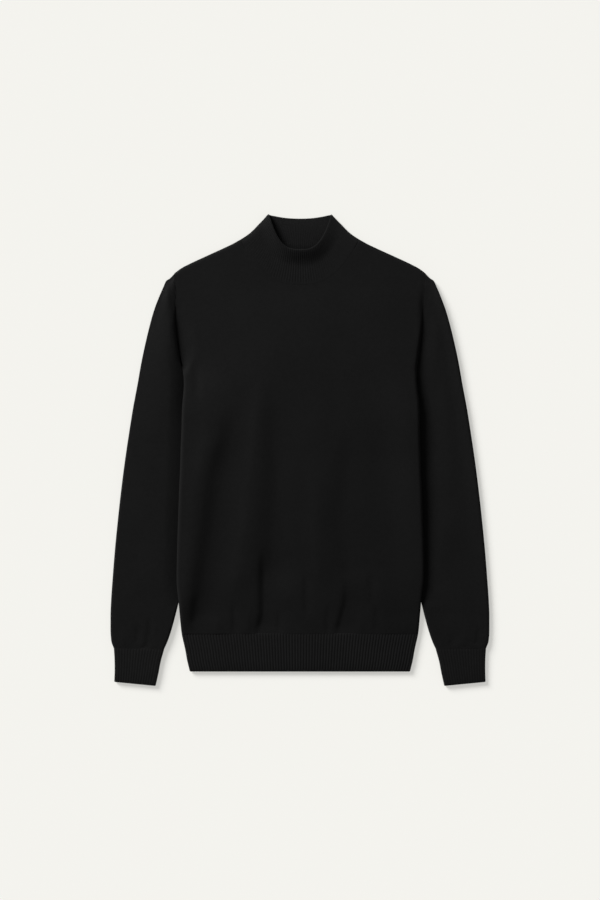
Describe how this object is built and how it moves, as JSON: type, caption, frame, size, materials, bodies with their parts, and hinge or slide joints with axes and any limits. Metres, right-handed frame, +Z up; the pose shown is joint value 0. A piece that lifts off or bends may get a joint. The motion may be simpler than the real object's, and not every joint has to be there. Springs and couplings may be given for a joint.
{
  "type": "turtleneck sweater laid flat",
  "caption": "Fine-gauge knitted sweater with a stand-up turtleneck collar, set-in sleeves and ribbed cuffs and hem, laid flat on its back.",
  "frame": {"origin": "on the surface that the sweater lies on, under the middle of its outline", "axes": "+Z up off that surface, +Y from the hem towards the collar, +X towards the wearer's left sleeve"},
  "size_m": [0.5992, 0.741, 0.0203],
  "materials": {
    "knit": "matt",
    "rib": "matt"
  },
  "bodies": {
    "root": {"front": "knit", "back": "knit", "sleeve_left": "knit", "sleeve_right": "knit", "hem_rib": "rib", "cuff_left": "rib", "cuff_right": "rib", "collar": "rib"}
  },
  "joints": []
}
